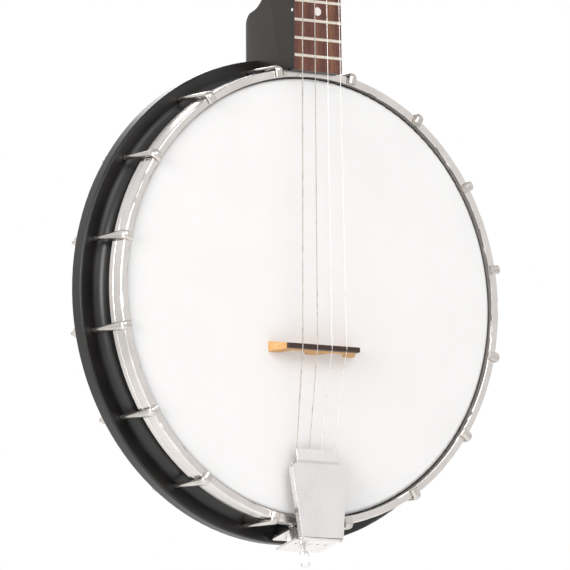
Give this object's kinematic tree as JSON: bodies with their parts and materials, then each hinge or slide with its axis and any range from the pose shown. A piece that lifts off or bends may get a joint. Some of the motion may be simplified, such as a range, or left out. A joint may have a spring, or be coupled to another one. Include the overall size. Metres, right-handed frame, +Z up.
{
  "type": "banjo",
  "caption": "Open-back short-scale tenor banjo: black moulded pot with flange, frosted head under a notched tension hoop, hinged tailpiece, slotted neck and geared tuners.",
  "frame": {"origin": "centre of the pot's flat back edge", "axes": "+Z up the neck, -Y out of the playing head, +X to the right of someone facing the head"},
  "size_m": [0.332, 0.0796, 0.8109],
  "materials": {
    "pot_moulding": "satin black moulded composite",
    "head_film": "frosted white coated film",
    "hoop_plate": "polished nickel plate",
    "hardware_plate": "nickel plate",
    "rod_steel": "drawn steel",
    "neck_paint": "satin black lacquer over wood",
    "board_wood": "oiled dark rosewood",
    "fret_wire": "drawn nickel silver",
    "pearl": "pearl",
    "bone": "polished bone",
    "cover_plastic": "black laminate",
    "bridge_maple": "bare maple",
    "bridge_ebony": "ebony",
    "tailpiece_plate": "polished nickel plate",
    "tuner_plate": "nickel plate",
    "tuner_brass": "cut brass",
    "button_plastic": "cream pearloid",
    "wound_string": "nickel wound steel",
    "plain_string": "plain drawn steel"
  },
  "bodies": {
    "instrument": {"bracket_hooks": "hardware_plate", "bridge_body": "bridge_maple", "bridge_cap": "bridge_ebony", "coordinator_nuts": "hardware_plate", "coordinator_rod": "rod_steel", "end_bolt": "hardware_plate", "end_bolt_nut": "hardware_plate", "end_bolt_spacer": "hardware_plate", "fingerboard": "board_wood", "flesh_hoop": "hoop_plate", "frets": "fret_wire", "head_membrane": "head_film", "headstock_veneer": "neck_paint", "heel_bolt": "hardware_plate", "hook_nuts": "hardware_plate", "hook_washers": "hardware_plate", "neck": "neck_paint", "nut": "bone", "position_dots": "pearl", "rim": "pot_moulding", "string_a": "plain_string", "string_c": "wound_string", "string_d": "plain_string", "string_g": "wound_string", "tailpiece_base": "tailpiece_plate", "tailpiece_hanger": "tailpiece_plate", "tailpiece_hinge_pin": "tailpiece_plate", "tailpiece_lock_nut": "tailpiece_plate", "tension_hoop": "hoop_plate", "truss_cover_screws": "tuner_plate", "truss_rod": "rod_steel", "truss_rod_cover": "cover_plastic", "tuner_bushings": "tuner_plate", "tuner_plates": "tuner_plate", "tuner_screws": "tuner_plate"},
    "tail_cover": {"tailpiece_cover": "tailpiece_plate"},
    "tail_adjuster": {"tailpiece_adjuster": "tailpiece_plate"},
    "truss_nut": {"truss_rod_nut": "hardware_plate"},
    "key_c": {"tuner_worm_c": "tuner_plate", "tuner_button_c": "button_plastic"},
    "post_c": {"tuner_post_c": "tuner_plate", "tuner_gear_c": "tuner_brass", "string_winding_c": "wound_string"},
    "key_g": {"tuner_worm_g": "tuner_plate", "tuner_button_g": "button_plastic"},
    "post_g": {"tuner_post_g": "tuner_plate", "tuner_gear_g": "tuner_brass", "string_winding_g": "wound_string"},
    "key_d": {"tuner_worm_d": "tuner_plate", "tuner_button_d": "button_plastic"},
    "post_d": {"tuner_post_d": "tuner_plate", "tuner_gear_d": "tuner_brass", "string_winding_d": "plain_string"},
    "key_a": {"tuner_worm_a": "tuner_plate", "tuner_button_a": "button_plastic"},
    "post_a": {"tuner_post_a": "tuner_plate", "tuner_gear_a": "tuner_brass", "string_winding_a": "plain_string"}
  },
  "joints": [
    {"name": "tail_cover_hinge", "type": "hinge", "parent": "instrument", "child": "tail_cover", "pos_m": [0, -0.0742, -0.1654], "axis": [1, 0, 0], "range_deg": [0, 80]},
    {"name": "tail_adjuster_turn", "type": "hinge", "parent": "instrument", "child": "tail_adjuster", "pos_m": [0, -0.0533, -0.17046], "axis": [0, 0.2351, 0.972], "continuous": true},
    {"name": "truss_nut_turn", "type": "hinge", "parent": "instrument", "child": "truss_nut", "pos_m": [0, -0.05406, 0.5075], "axis": [0, 0.014, 0.9999], "continuous": true},
    {"name": "key_c_turn", "type": "hinge", "parent": "instrument", "child": "key_c", "pos_m": [-0.021, -0.03526, 0.53119], "axis": [1, 0, 0], "continuous": true},
    {"name": "post_c_turn", "type": "hinge", "parent": "instrument", "child": "post_c", "pos_m": [-0.021, -0.04431, 0.54171], "axis": [0, 0.9711, -0.2385], "continuous": true},
    {"name": "key_g_turn", "type": "hinge", "parent": "instrument", "child": "key_g", "pos_m": [-0.021, -0.02333, 0.57975], "axis": [1, 0, 0], "continuous": true},
    {"name": "post_g_turn", "type": "hinge", "parent": "instrument", "child": "post_g", "pos_m": [-0.021, -0.03238, 0.59027], "axis": [0, 0.9711, -0.2385], "continuous": true},
    {"name": "key_d_turn", "type": "hinge", "parent": "instrument", "child": "key_d", "pos_m": [0.021, -0.02333, 0.57975], "axis": [1, 0, 0], "continuous": true},
    {"name": "post_d_turn", "type": "hinge", "parent": "instrument", "child": "post_d", "pos_m": [0.021, -0.03238, 0.59027], "axis": [0, 0.9711, -0.2385], "continuous": true},
    {"name": "key_a_turn", "type": "hinge", "parent": "instrument", "child": "key_a", "pos_m": [0.021, -0.03526, 0.53119], "axis": [1, 0, 0], "continuous": true},
    {"name": "post_a_turn", "type": "hinge", "parent": "instrument", "child": "post_a", "pos_m": [0.021, -0.04431, 0.54171], "axis": [0, 0.9711, -0.2385], "continuous": true}
  ],
  "couplings": [
    {"joint": "post_c_turn", "follows": "key_c_turn", "ratio": -0.0625},
    {"joint": "post_g_turn", "follows": "key_g_turn", "ratio": -0.0625},
    {"joint": "post_d_turn", "follows": "key_d_turn", "ratio": 0.0625},
    {"joint": "post_a_turn", "follows": "key_a_turn", "ratio": 0.0625}
  ]
}
